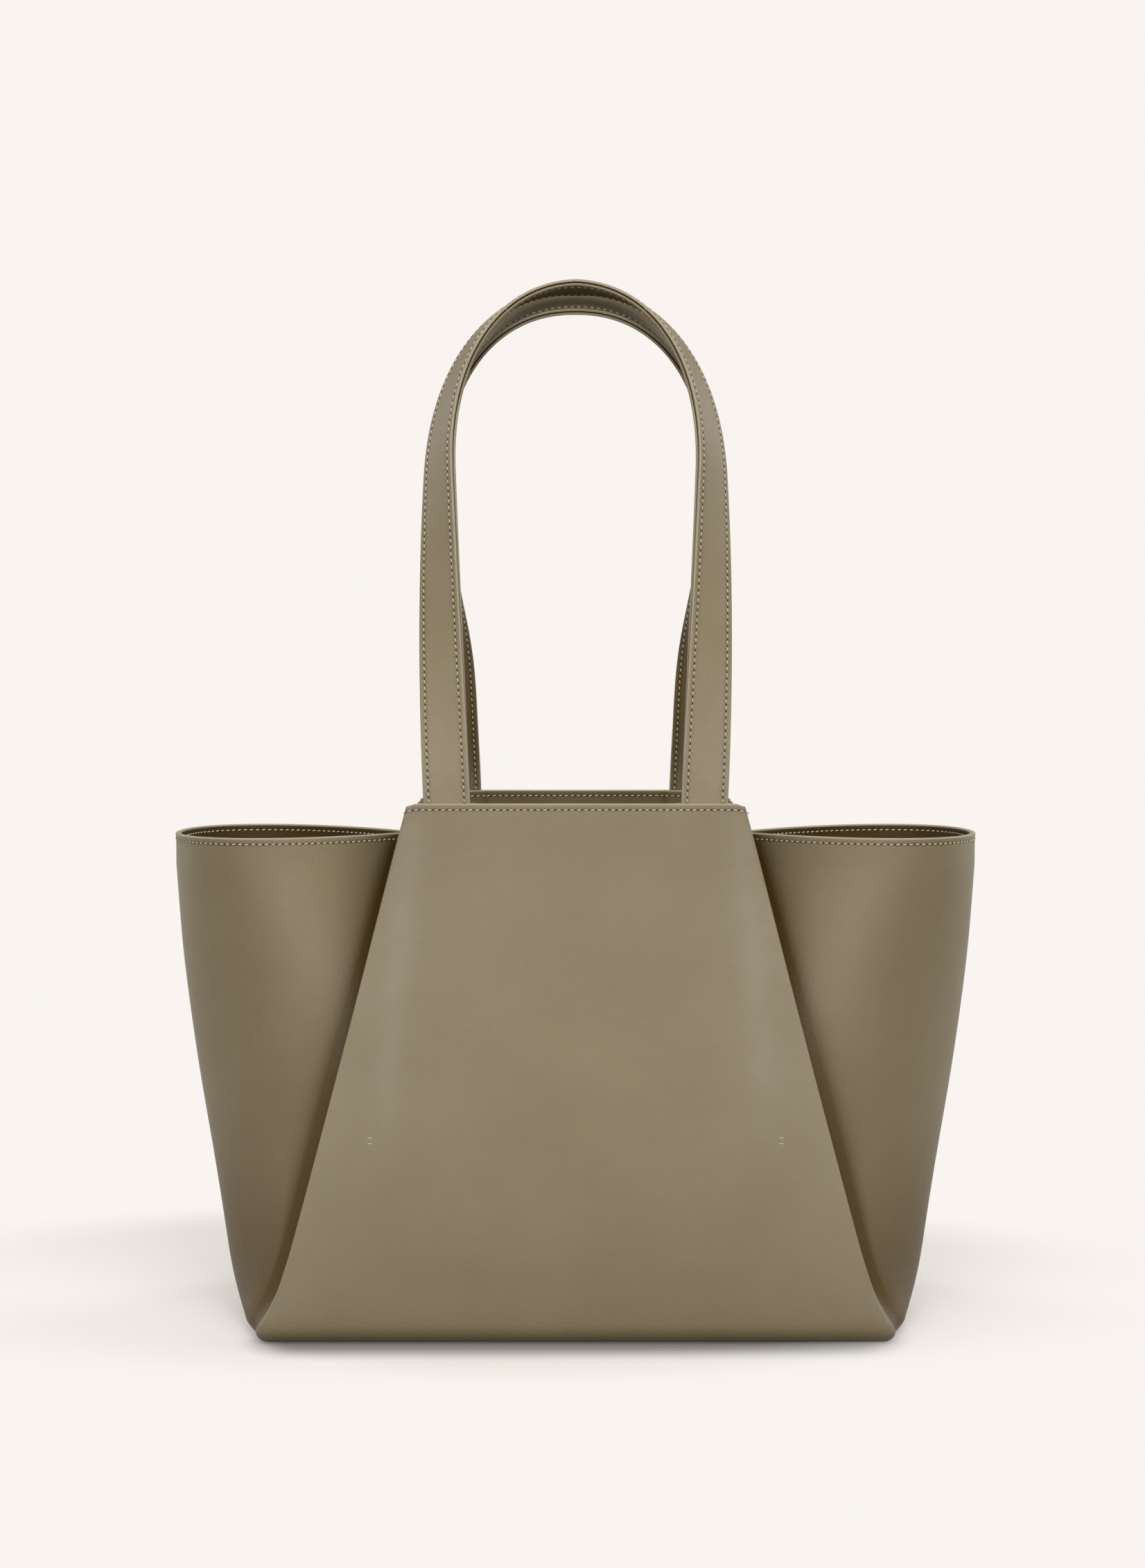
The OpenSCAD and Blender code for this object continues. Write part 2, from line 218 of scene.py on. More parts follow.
# Height of the panel's edge: level, rounded off at the crease, then falling along the fold
def topEdge(share, back=False):
    fold = np.clip(share - 2, 0, 1)
    bend = np.clip(share - 1, 0, 1)
    fall = mix(bag["panelHeight"], bag["wingHeight"], 0.03 * bend + 0.97 * fold)
    run = bag["backCornerRun" if back else "cornerRun"]
    drop = bag["backCornerDrop" if back else "cornerDrop"]
    near = np.clip(1 - (1 - share) * bag["panelTop"] / 2 / run, 0, 1)
    return fall - drop * near ** 2 * (1 - smooth(fold * 3))


# Low waves in the leather, as a share of one
def ripples(a, b, seed):
    wave = (np.sin(a * 0.031 + b * 0.017 + seed) + 0.6 * np.sin(a * 0.053 - b * 0.041 + 2.1 * seed)
            + 0.4 * np.sin(a * 0.018 + b * 0.083 + 3.7 * seed))
    return wave / 2


def rippleSeed(back):
    return bag["backRipple" if back else "frontRipple"]


# How far the lining stands in over the sewn-in ends of the straps
def pocket(x, z):
    side = np.abs(np.abs(x) - strap["legGap"] / 2) - strap["width"] / 2
    across = 1 - smooth((side - strap["pocketEdge"]) / strap["pocketSlope"])
    below = bag["panelHeight"] - strap["endDepth"] - strap["pocketBelow"]
    return (strap["thickness"] + strap["pocketGap"]) * across * smooth((z - below) / strap["pocketRise"])


# Where the panel rolls softly beside its crease, from 0 to 1
def roll(x, z):
    inside = creaseX(z) - np.abs(x)
    centre = bag["rollInset"] + bag["rollSlope"] * (bag["panelHeight"] - z)
    return bell((inside - centre) / bag["rollWidth"]) * between(z, *bag["rollSpan"])


# Right half of the front panel: share 0 to 1 the middle, to 2 the crease, to 3 the fold
def panelPoints(z, share, t, seed, lined=False):
    q = inset(t, z)
    turn = foldTurn(z)
    alongX, alongY = -np.cos(turn), np.sin(turn)
    cornerX = creaseX(z) - q * (1 + np.cos(turn)) / np.sin(turn)
    cornerY = -halfDepth + q
    r = np.maximum(bag["creaseRadius"],
                   mix(bag["cornerRadius"], bag["creaseRadius"], np.minimum(1, z / bag["cornerHeight"])) - q)
    startX = cornerX - r
    endX, endY = cornerX + r * alongX, cornerY + r * alongY
    vx, vy = valley(z)
    nearX = vx - bag["seamStep"] * alongX - q * alongY
    nearY = vy - bag["seamStep"] * alongY + q * alongX
    sx, sy = seamDir(z)
    middle, bend, fold = (np.clip(share - k, 0, 1) for k in (0, 1, 2))
    x = middle * startX
    y = cornerY + 0 * x
    bendX = mix(mix(startX, cornerX, bend), mix(cornerX, endX, bend), bend)
    bendY = mix(cornerY, mix(cornerY, endY, bend), bend)
    last = 0.96
    f = np.minimum(fold / last, 1)
    g = np.clip((fold - last) / (1 - last), 0, 1)
    foldX = mix(mix(endX, nearX, f), vx + q * sx, g)
    foldY = mix(mix(endY, nearY, f), vy + q * sy, g)
    x = np.where(share > 2, foldX, np.where(share > 1, bendX, x))
    y = np.where(share > 2, foldY, np.where(share > 1, bendY, y))
    pillow = bag["pillow"] * (1 - middle ** 5) + bag["ripple"] * ripples(x, z, seed) * (1 - middle ** 3)
    swell = pillow * between(z, *bag["pillowSpan"])
    swell = swell + bag["rollHeight"] * roll(x, z) * smooth((1 - middle) / 0.06)
    y = y - np.where(share <= 1, swell, 0)
    if lined:
        y = y + np.where(share <= 1, pocket(x, z), 0)
    return x, y


# The right wing: s from 0 at the front seam through 1 at the tip to 2 at the back seam
def wingPoints(z, s, t):
    f = np.where(s <= 1, s, 2 - s)
    side = np.where(s <= 1, 1.0, -1.0)
    shift = side * bag["tipBack"]
    q = inset(t, z)
    x, y = wingCurve(z, f, shift)
    step = 0.01
    aheadX, aheadY = wingCurve(z, np.minimum(1, f + step), shift)
    behindX, behindY = wingCurve(z, np.maximum(0, f - step), shift)
    dx, dy = unit(aheadX - behindX, aheadY - behindY)
    nx, ny = -dy, dx
    sx, sy = seamDir(z)
    seam = 1 - smooth(f / 0.04)
    tip = smooth((f - 0.97) / 0.03)
    nx, ny = unit(mix(mix(nx, sx, seam), -1, tip), mix(mix(ny, sy, seam), 0, tip))
    window = smooth(f / 0.25) * smooth((z - 12) / 45)
    lift = 1.6 * bag["ripple"] * ripples(120 * s, z, bag["wingRipple"]) * window
    dip = bell((f - bag["hollowAt"]) / bag["hollowWidth"])
    lift = lift - bag["hollow"] * dip * between(z, *bag["hollowSpan"])
    return x + (q - lift) * nx, side * (y + (q - lift) * ny)


# Meshes of closed skins
skin = {
    "middle": 60, "bend": 9, "fold": 26, "wing": 96,
    "turnRows": 9, "bodyRows": 84, "footRows": 5, "rimSteps": 6,
}
# Rows of the skin near the rim, as distances below it in millimetres
rimRows = [16.0, 11.0, 8.0, 6.2, 5.0, 4.3, 3.85, 3.4, 2.95, 2.5, 1.8, 1.1]


def grooveAt(down, depth):
    return depth * bell((down - bag["stitchInset"]) / 0.45)


# Rows up the outer face, over the rounded rim and down the inner face
def skinGrid(place, shares, tops, t0, t1, footZ, grooveOut, grooveIn):
    rim = bag["rimRadius"]
    downs = np.array([max(rimRows) + 0.1] + rimRows + [rim])

    def column(t, grooved, sign):
        if footZ is None:
            foot = bag["turnRadius"] - (bag["turnRadius"] - t) * np.cos(
                math.pi / 2 * np.arange(skin["turnRows"]) / skin["turnRows"])
        else:
            foot = mix(footZ, bag["turnRadius"], np.arange(skin["footRows"]) / skin["footRows"])
        rowsZ = np.repeat(foot[:, None], len(shares), 1)
        up = np.arange(skin["bodyRows"])[:, None] / skin["bodyRows"]
        body = mix(bag["turnRadius"], tops[None, :] - downs[0], up)
        rowsZ = np.vstack([rowsZ, body, tops[None, :] - downs[:, None]])
        down = tops[None, :] - rowsZ
        depth = sign * grooveAt(down, bag["groove"]) if grooved else 0 * down
        x, y = place(rowsZ, np.repeat(shares[None, :], len(rowsZ), 0), t, depth)
        return np.stack([x, y, rowsZ], -1), down

    outer, downOuter = column(t0, grooveOut, 1)
    inner, downInner = column(t1, grooveIn, -1)
    angles = np.linspace(0, math.pi, skin["rimSteps"] + 2)[1:-1]
    arcs = []
    for a in angles:
        t = mix(t0, t1, 0.5 - 0.5 * math.cos(a))
        rowZ = (tops - rim + rim * math.sin(a))[None, :]
        x, y = place(rowZ, shares[None, :], t, 0 * rowZ)
        arcs.append(np.stack([x, y, rowZ], -1)[0])
    grid = np.concatenate([outer, np.array(arcs), inner[::-1]])
    downs = np.concatenate([downOuter, np.zeros((len(arcs), len(shares))), downInner[::-1]])
    rimMask = np.zeros(grid.shape[:2])
    rimMask[len(outer) - 1:len(outer) + len(arcs) + 1] = 1
    return grid, len(outer), len(arcs), rimMask, downs


# A closed mesh from a grid whose rows run round the section
def skinMesh(name, grid, rows, arcs, marks):
    count, cols = grid.shape[:2]
    verts = (grid.reshape(-1, 3) * mm).tolist()

    def at(i, j):
        return (i % count) * cols + j

    faces = [(at(i, j), at(i, j + 1), at(i + 1, j + 1), at(i + 1, j))
             for i in range(count) for j in range(cols - 1)]
    for j in (0, cols - 1):
        faces += [(at(i, j), at(i + 1, j), at(count - 2 - i, j), at(count - 1 - i, j))
                  for i in range(rows - 1)]
        faces.append(tuple(at(i, j) for i in range(rows - 1, rows + arcs + 1)))
    mesh = newMesh(name, verts, faces)
    for key, values in marks.items():
        mark(mesh, key, values)
    return finishMesh(name, mesh)


def finishMesh(name, mesh, smoothAngle=40):
    work = bmesh.new()
    work.from_mesh(mesh)
    bmesh.ops.recalc_face_normals(work, faces=work.faces)
    limit = math.radians(smoothAngle)
    for face in work.faces:
        face.smooth = True
    for edge in work.edges:
        edge.smooth = len(edge.link_faces) == 2 and edge.calc_face_angle(0) < limit
    work.to_mesh(mesh)
    work.free()
    return newObject(name, mesh)


# How much painted shade or painted highlight each place gets, as a share of the shade tone or of the
# highlight tone.
# panelLow and panelFoot also say up to which height they fade, archDark and legDark from where and how far.
tone = {
    "fold": 0.8, "panelLow": (0.24, 140), "panelFoot": (0.20, 30), "panelTop": 0.09, "backCorner": 0.8,
    "wingLow": 0.88, "wingCrease": 0.95, "wingBeside": 0.4, "wingSide": 0.28, "wingLining": 0.95,
    "stitchLine": 0.42, "creaseHighlight": 0.9, "rollHighlight": 0.6,
    "strapLine": 0.5, "archOver": 0.75, "archUnder": 0.55, "backLegs": 0.72,
    "archDark": (470, 75), "legDark": (400, 80),
}


def fading(z, amount, height):
    return amount * (1 - smooth(z / height))


def rising(z, start, height):
    return smooth((z - start) / height)


# Painted shade along the stitch groove
def stitchShade(downs):
    return tone["stitchLine"] * bell((downs - bag["stitchInset"]) / 0.8)


panelShares = np.concatenate([
    np.linspace(0, 1, skin["middle"] + 1), np.linspace(1, 2, skin["bend"] + 1)[1:],
    np.linspace(2, 3, skin["fold"] + 1)[1:]])
wingShares = np.linspace(0, 2, skin["wing"] + 1)


# The back panel's top corners stand a little wider than the front ones
def backSpread(x, z):
    return x + np.sign(x) * bag["backSpread"] * smooth((z - 272) / 20) * smooth((np.abs(x) - 40) / 45)


def panelPiece(name, t0, t1, footZ, back, lined, grooveOut, grooveIn):
    shares = np.concatenate([-panelShares[:0:-1], panelShares])

    def place(z, share, t, depth):
        x, y = panelPoints(z, np.abs(share), t, rippleSeed(back), lined)
        side = np.where(np.abs(share) <= 2, 1, 0)
        y = y + depth * side
        x = x - depth * (1 - side)
        return np.sign(share) * (backSpread(x, z) if back else x), y

    tops = topEdge(np.abs(shares), back)
    grid, rows, arcs, rimMask, downs = skinGrid(place, shares, tops, t0, t1, footZ, grooveOut, grooveIn)
    if back:
        grid = grid * np.array([-1, -1, 1])
    away, x, z = np.abs(shares), grid[..., 0], grid[..., 2]
    # Painted highlight: a lighter line along each crease ridge and a lighter band on the roll beside it
    paintedLight = tone["creaseHighlight"] * bell((away - 1.5) / 0.6)[None, :] * smooth((z - 4) / 14)
    paintedLight = paintedLight + tone["rollHighlight"] * roll(x, z) * (away <= 1)
    # Painted shade: darker in the fold returns, towards the foot, along the top and in the stitch groove; the
    # back panel's top corners get painted shade and lose their edge paint
    low = fading(z, *tone["panelLow"]) + fading(z, *tone["panelFoot"])
    top = tone["panelTop"] * smooth((z - 225) / 50) * (1 + smooth((np.abs(x) - 45) / 35)) * (away <= 2)
    shade = np.maximum((away > 2) * tone["fold"], low) + top + stitchShade(downs)
    if back:
        corner = smooth((away - 0.80) / 0.15)[None, :]
        rimMask = rimMask * (1 - 0.85 * corner)
        shade = np.maximum(shade, tone["backCorner"] * corner * smooth((z - 268) / 8))
    return skinMesh(name, grid, rows, arcs, {"rim": rimMask, "paintedLight": paintedLight, "shade": shade})


def wingPiece(name, t0, t1, footZ, left, grooveOut, grooveIn):
    def place(z, s, t, depth):
        return wingPoints(z, s, t + depth)

    tops = np.full(len(wingShares), bag["wingHeight"])
    grid, rows, arcs, rimMask, downs = skinGrid(place, wingShares, tops, t0, t1, footZ, grooveOut, grooveIn)
    z = grid[..., 2]
    beside = np.maximum(grid[..., 0] - creaseX(z), 0)
    # Painted shade: darker low down, close beside the crease, in an upright band towards the tip, and all
    # over the wing lining
    low = tone["wingLow"] * (1 - smooth((z - 12) / 125)) ** 0.9
    side = tone["wingSide"] * bell((np.abs(wingShares - 1) - 0.45) / 0.16)[None, :] * smooth((z - 60) / 80)
    crease = tone["wingCrease"] * bell(beside / 8.5) + tone["wingBeside"] * bell(beside / 26.0)
    shade = np.maximum(crease, low) + side
    shade = (np.full_like(z, tone["wingLining"]) if t0 > 0 else shade) + stitchShade(downs)
    if left:
        grid = grid * np.array([-1, 1, 1])
    return skinMesh(name, grid, rows, arcs, {"rim": rimMask, "shade": shade})


# Materials
finish = {
    "leather": (0.292, 0.243, 0.150), "leatherDeep": (0.262, 0.216, 0.130),
    "strapLeather": (0.300, 0.250, 0.158), "strapDeep": (0.262, 0.214, 0.130),
    "lining": (0.180, 0.136, 0.066), "liningDeep": (0.150, 0.110, 0.050),
    # On this line: the rims' real edge paint, the painted highlight tone, and the tone that darkens for
    # painted shade and for the strap's glue seam
    "edgePaint": (0.400, 0.345, 0.240), "paintedHighlight": (0.360, 0.315, 0.235), "shadeAndSeamTone": (0.31, 0.22, 0.07),
    "thread": (0.680, 0.615, 0.460), "threadDeep": (0.500, 0.440, 0.305),
    # Needle hole colours: painted shade standing in for the dark needle holes
    "needleHoleShade": (0.050, 0.036, 0.016), "needleHoleShadeDeep": (0.018, 0.012, 0.005),
    "board": (0.340, 0.255, 0.165),
    "grainScale": 950.0, "grainDepth": 0.00011, "mottleScale": 16.0, "leatherRough": (0.44, 0.58),
    "strapRough": (0.42, 0.56), "liningRough": (0.62, 0.8), "liningGrain": 1500.0, "liningDepth": 0.00008,
    "threadScale": 1600, "threadRough": 0.6, "threadDepth": 0.00008,
}


def addNode(tree, kind, inputs=None, **settings):
    node = tree.nodes.new(kind)
    for key, value in settings.items():
        setattr(node, key, value)
    feed(tree, node, inputs or {})
    return node


# Each input gets another node's socket, or a plain value of its own
def feed(tree, node, inputs):
    for key, value in inputs.items():
        if isinstance(value, bpy.types.NodeSocket):
            tree.links.new(value, node.inputs[key])
        else:
            node.inputs[key].default_value = value


def newGroup(name, kind, inputs, outputs):
    tree = bpy.data.node_groups.new(name, kind)
    for inOut, sockets in (("INPUT", inputs), ("OUTPUT", outputs)):
        for label, sort, value in sockets:
            made = tree.interface.new_socket(name=label, in_out=inOut, socket_type="NodeSocket" + sort)
            if value is not None:
                made.default_value = value
    return tree, tree.nodes.new("NodeGroupInput").outputs


def times(tree, a, b):
    return addNode(tree, "ShaderNodeMath", {0: a, 1: b}, operation="MULTIPLY").outputs[0]


def noise(tree, place, scale, detail, rough=0.5):
    inputs = {"Vector": place, "Scale": scale, "Detail": detail, "Roughness": rough}
    return addNode(tree, "ShaderNodeTexNoise", inputs).outputs["Fac"]


def mixed(tree, factor, first, second, blend="MIX"):
    return addNode(tree, "ShaderNodeMix", {"Factor": factor, 6: first, 7: second},
                   data_type="RGBA", blend_type=blend, clamp_factor=True).outputs[2]


# Pebbled grain, soft patches of tone and a little change of gloss
def leatherGrainGroup():
    tree, given = newGroup(
        "leatherGrain", "ShaderNodeTree",
        [("Light Tone", "Color", (0.3, 0.25, 0.17, 1)), ("Deep Tone", "Color", (0.25, 0.2, 0.13, 1)),
         ("Grain Scale", "Float", 950.0), ("Mottle Scale", "Float", 16.0),
         ("Roughness Low", "Float", 0.42), ("Roughness High", "Float", 0.56)],
        [("Color", "Color", None), ("Roughness", "Float", None), ("Height", "Float", None)])
    place = tree.nodes.new("ShaderNodeTexCoord").outputs["Object"]
    pebble = addNode(tree, "ShaderNodeTexVoronoi",
                     {"Vector": place, "Scale": given["Grain Scale"], "Smoothness": 0.6},
                     feature="SMOOTH_F1").outputs["Distance"]
    wrinkle = noise(tree, place, 260, 5)
    patches = noise(tree, place, given["Mottle Scale"], 4, 0.6)
    height = addNode(tree, "ShaderNodeMath", {0: wrinkle, 1: 0.7, 2: pebble}, operation="MULTIPLY_ADD")
    cloud = addNode(tree, "ShaderNodeMapRange", {"Value": patches, "From Min": 0.3, "From Max": 0.72})
    speck = addNode(tree, "ShaderNodeMath", {0: pebble, 1: 0.35, 2: cloud.outputs["Result"]},
                    operation="MULTIPLY_ADD")
    gloss = addNode(tree, "ShaderNodeMapRange", {"Value": wrinkle, "To Min": given["Roughness Low"],
                                                 "To Max": given["Roughness High"]})
    addNode(tree, "NodeGroupOutput", {
        "Color": mixed(tree, speck.outputs[0], given["Light Tone"], given["Deep Tone"]),
        "Roughness": gloss.outputs["Result"], "Height": height.outputs[0]})
    return tree


# Painted rims of edge paint, a painted highlight on ridges, and painted shade in folds, at the feet and in
# other shaded places; the strap's dark glue seam uses the same darkening
def edgePaintAndLightGroup():
    tree, given = newGroup(
        "edgePaintAndPaintedLight", "ShaderNodeTree",
        [("Color", "Color", (0.3, 0.25, 0.17, 1)), ("Edge Paint", "Color", (0.37, 0.31, 0.22, 1)),
         ("Painted Highlight Tone", "Color", (0.37, 0.33, 0.25, 1)), ("Shade And Seam Tone", "Color", (0.5, 0.42, 0.3, 1)),
         ("Highlight Amount", "Float", 0.7)],
        [("Edge And Light Color", "Color", None)])
    rim, paintedLight, shade = (addNode(tree, "ShaderNodeAttribute", attribute_name=key).outputs["Fac"]
                        for key in ("rim", "paintedLight", "shade"))
    highlightNoise = noise(tree, tree.nodes.new("ShaderNodeTexCoord").outputs["Object"], 45, 4)
    spread = addNode(tree, "ShaderNodeMapRange",
                     {"Value": highlightNoise, "From Min": 0.3, "From Max": 0.7, "To Min": 0.55})
    paintedHighlight = times(tree, times(tree, paintedLight, given["Highlight Amount"]), spread.outputs["Result"])
    lighter = mixed(tree, paintedHighlight, given["Color"], given["Painted Highlight Tone"])
    darker = mixed(tree, shade, lighter, given["Shade And Seam Tone"], "MULTIPLY")
    addNode(tree, "NodeGroupOutput", {"Edge And Light Color": mixed(tree, rim, darker, given["Edge Paint"])})
    return tree


grainGroup = leatherGrainGroup()
edgeAndLightTree = edgePaintAndLightGroup()


def blankMaterial(name):
    material = bpy.data.materials.new(name)
    material.use_nodes = True
    tree = material.node_tree
    return material, tree, next(n for n in tree.nodes if n.type == "BSDF_PRINCIPLED")


def leatherMaterial(name, light, deep, grain, depth, rough, highlightAmount=0.7, specular=0.4):
    material, tree, shader = blankMaterial(name)
    grained = addNode(tree, "ShaderNodeGroup", {
        "Light Tone": (*light, 1), "Deep Tone": (*deep, 1), "Grain Scale": grain,
        "Mottle Scale": finish["mottleScale"], "Roughness Low": rough[0], "Roughness High": rough[1],
    }, node_tree=grainGroup).outputs
    paintedLight = addNode(tree, "ShaderNodeGroup", {
        "Color": grained["Color"], "Edge Paint": (*finish["edgePaint"], 1),
        "Painted Highlight Tone": (*finish["paintedHighlight"], 1), "Shade And Seam Tone": (*finish["shadeAndSeamTone"], 1),
        "Highlight Amount": highlightAmount,
    }, node_tree=edgeAndLightTree).outputs["Edge And Light Color"]
    bump = addNode(tree, "ShaderNodeBump", {"Height": grained["Height"], "Distance": depth, "Strength": 0.8})
    feed(tree, shader, {"Base Color": paintedLight, "Roughness": grained["Roughness"],
                        "Normal": bump.outputs["Normal"], "Specular IOR Level": specular})
    return material


# Fine strands or specks of two tones, with their own relief
def speckledMaterial(name, light, deep, scale, rough, detail=6, depth=0.0001):
    material, tree, shader = blankMaterial(name)
    fibres = noise(tree, tree.nodes.new("ShaderNodeTexCoord").outputs["Object"], scale, detail)
    bump = addNode(tree, "ShaderNodeBump", {"Height": fibres, "Distance": depth})
    feed(tree, shader, {"Base Color": mixed(tree, fibres, (*deep, 1), (*light, 1)),
                        "Normal": bump.outputs["Normal"], "Roughness": rough})
    return material


outerLeather = leatherMaterial("outerLeather", finish["leather"], finish["leatherDeep"],
                               finish["grainScale"], finish["grainDepth"], finish["leatherRough"])
strapLeather = leatherMaterial("strapLeather", finish["strapLeather"], finish["strapDeep"],
                               finish["grainScale"], finish["grainDepth"], finish["strapRough"])
liningLeather = leatherMaterial("liningLeather", finish["lining"], finish["liningDeep"],
                                finish["liningGrain"], finish["liningDepth"], finish["liningRough"],
                                highlightAmount=0.0, specular=0.25)
waxedThread = speckledMaterial("waxedThread", finish["thread"], finish["threadDeep"], finish["threadScale"],
                               finish["threadRough"], detail=2, depth=finish["threadDepth"])
needleHoleShade = speckledMaterial("needleHoleShade", finish["needleHoleShade"], finish["needleHoleShadeDeep"], 900, 0.9)
greyBoard = speckledMaterial("greyBoard", finish["board"], finish["leatherDeep"], 300, 0.9)
print("materials made")


def dress(obj, material, slot, body, *nodes):
    obj.data.materials.clear()
    obj.data.materials.append(material)
    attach(obj, body)
    if nodes:
        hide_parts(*nodes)


# Walls and lining
leatherT, bagBody = bag["leather"], "bag"
for side, back in (("front", False), ("back", True)):
    piece = panelPiece(side + "PanelLeather", 0, leatherT, None, back, False, True, False)
    dress(piece, outerLeather, "outer_leather", bagBody, side + "_panel")
    piece = panelPiece(side + "PanelLining", lining0, lining1, wallLiningZ, back, True, False, True)
    dress(piece, liningLeather, "lining_leather", bagBody, side + "_lining")
for side, left in (("left", True), ("right", False)):
    piece = wingPiece(side + "WingLeather", 0, leatherT, None, left, True, False)
    dress(piece, outerLeather, "outer_leather", bagBody, side + "_wing")
    piece = wingPiece(side + "WingLining", lining0, lining1, wallLiningZ, left, False, True)
    dress(piece, liningLeather, "lining_leather", bagBody, side + "_wing_lining")
print("walls made")


# Base sheets
baseSheets = {"fit": 0.5, "edgeRound": 0.35, "cornerGap": 1.0, "arcSteps": 24}


def baseOutline(z, q):
    turn = foldTurn(z)
    cornerX = creaseX(z) - q * (1 + np.cos(turn)) / np.sin(turn)
    cornerY = -halfDepth + q
    s = np.linspace(0, 1, baseSheets["arcSteps"])
    x, y = wingCurve(z, s, 0 * s)
    aheadX, aheadY = wingCurve(z, np.minimum(1, s + 0.01), 0)
    behindX, behindY = wingCurve(z, np.maximum(0, s - 0.01), 0)
    dx, dy = unit(aheadX - behindX, aheadY - behindY)
    x, y = x - q * dy, y + q * dx
    keep = y > cornerY + baseSheets["cornerGap"]
    quarter = [(float(cornerX), float(cornerY))] + list(zip(x[keep], np.minimum(y[keep], 0)))
    right = quarter + [(a, -b) for a, b in quarter[::-1][1:]]
    return right + [(-a, -b) for a, b in right]


def baseSheet(name, z, thick, q):
    outline = np.array(baseOutline(max(z, 0.01), q))
    cut = baseSheets["edgeRound"]
    towards = outline / np.linalg.norm(outline, axis=1)[:, None]
    narrow = outline - towards * cut
    rings = [(narrow, z), (outline, z + cut), (outline, z + thick - cut), (narrow, z + thick)]
    verts = [(x * mm, y * mm, h * mm) for ring, h in rings for x, y in ring]
    n = len(outline)
    faces = [(k * n + i, k * n + (i + 1) % n, (k + 1) * n + (i + 1) % n, (k + 1) * n + i)
             for k in range(3) for i in range(n)]
    faces += [tuple(range(n)), tuple(range(3 * n, 4 * n))]
    return finishMesh(name, newMesh(name, verts, faces))


def insideWalls(z):
    return float(inset(leatherT, z)) + baseSheets["fit"]


boardZ = bag["leather"] + bag["glue"]
bottom = baseSheet("basePanelLeather", 0, leatherT, bag["turnRadius"] + baseSheets["fit"])
dress(bottom, outerLeather, "outer_leather", bagBody, "base_panel")
stiffener = baseSheet("baseBoard", boardZ, bag["board"], insideWalls(boardZ))
dress(stiffener, greyBoard, "board", bagBody, "base_board")
inside = baseSheet("baseLiningLeather", baseLiningZ, bag["lining"], insideWalls(baseLiningZ))
dress(inside, liningLeather, "lining_leather", bagBody, "base_lining")


# Straps

# Middle line of the whole strap from the left sewn-in end to the right one
def strapPath(length, arch, twistRun, ease, extra):
    legHeight = length - arch
    below = np.linspace(-strap["endDepth"], 0, 12)[:-1]
    leg = np.concatenate([np.linspace(0, strap["bendHeight"], strap["bendSteps"])[:-1],
                          np.linspace(strap["bendHeight"], legHeight, strap["legSteps"])[:-1]])
    widen = (strap["archWidth"] - strap["legGap"]) / 2 * np.sin(math.pi / 2 * leg / legHeight)
    a = np.linspace(0, math.pi / 2, strap["archSteps"])
    power = 2 / strap["archPower"]
    x = np.concatenate([np.full(len(below), strap["legGap"] / 2), strap["legGap"] / 2 + widen,
                        strap["archWidth"] / 2 * np.maximum(np.cos(a), 0) ** power])
    h = np.concatenate([below, leg, legHeight + arch * np.sin(a) ** power])
    x[-1] = 0
    run = np.concatenate([[0], np.cumsum(np.hypot(np.diff(x), np.diff(h)))])
    run = run - np.interp(strap["foot"], h, run)
    f = np.clip(run / twistRun, 0, 1)
    twist = math.pi / 2 * f ** ease / (f ** ease + (1 - f) ** ease)
    late = (run / run[-1] - strap["rollFrom"]) / (1 - strap["rollFrom"])
    twist = twist + math.radians(extra) * smooth(late)
    tangent = np.gradient(np.stack([x, h], -1), axis=0)
    tangent[-1] = (-1, 0)
    tangent = tangent / np.linalg.norm(tangent, axis=1)[:, None]
    return x, h, twist, tangent


def strapFrames(lean, path):
    x, h, twist, tangent = path
    lean = math.radians(lean)
    above = np.maximum(h - strap["foot"], 0)
    onset = 1 - np.exp(-above / strap["leanRun"])
    leaned = above - strap["leanRun"] * onset
    tilt = lean * onset
    zero = np.zeros(len(x))
    up = np.stack([zero, np.sin(tilt), np.cos(tilt)], -1)
    face = np.stack([zero, -np.cos(tilt), np.sin(tilt)], -1)
    out = tangent[:, 1:] * np.array([1, 0, 0]) - tangent[:, :1] * up
    c, s = np.cos(twist)[:, None], np.sin(twist)[:, None]
    normal, across = c * face + s * out, c * out - s * face
    middle = np.stack([x, -strapY + math.sin(lean) * leaned,
                       bag["panelHeight"] + h - (1 - math.cos(lean)) * leaned], -1)
    flip = np.array([-1, 1, 1])
    middle = np.concatenate([middle * flip, middle[-2::-1]])
    normal = np.concatenate([normal * flip, normal[-2::-1]])
    across = np.concatenate([across * flip, across[-2::-1]])
    return middle, normal, across


# Half section of one layer from its middle out: flat, stitch groove, rounded edge, seam side
def layerSection(seamN, faceN):
    half, r = strap["width"] / 2, strap["edgeRound"]
    way = 1 if faceN > seamN else -1
    line = half - strap["stitchInset"]
    points = []
    besideLine = [line + step for step in (-0.9, -0.5, -0.25, 0, 0.25, 0.5, 0.9)]
    for b in [0, 4, 7] + besideLine + [half - 1.3, half - r]:
        crown = strap["crown"] * (1 - (b / half) ** 2)
        dip = strap["groove"] * math.exp(-((b - line) / 0.4) ** 2)
        # Painted shade along the strap's stitch groove
        dark = tone["strapLine"] * math.exp(-((b - line) / 0.8) ** 2)
        points.append((b, faceN + way * (crown - dip - strap["crown"]), 0, dark))
    for a in np.linspace(0, math.pi / 2, 5)[1:]:
        down = way * (r - r * math.cos(a))
        points.append((half - r + r * math.sin(a), faceN - down - way * strap["crown"], 1, 0))
    points += [(half, seamN + way * 0.55, 1, 0), (half - 0.12, seamN + way * 0.25, 0.3, 0.9)]
    points += [(b, seamN, 0, 1) for b in (half - 0.8, half - 3, half / 2, 0)]
    return points


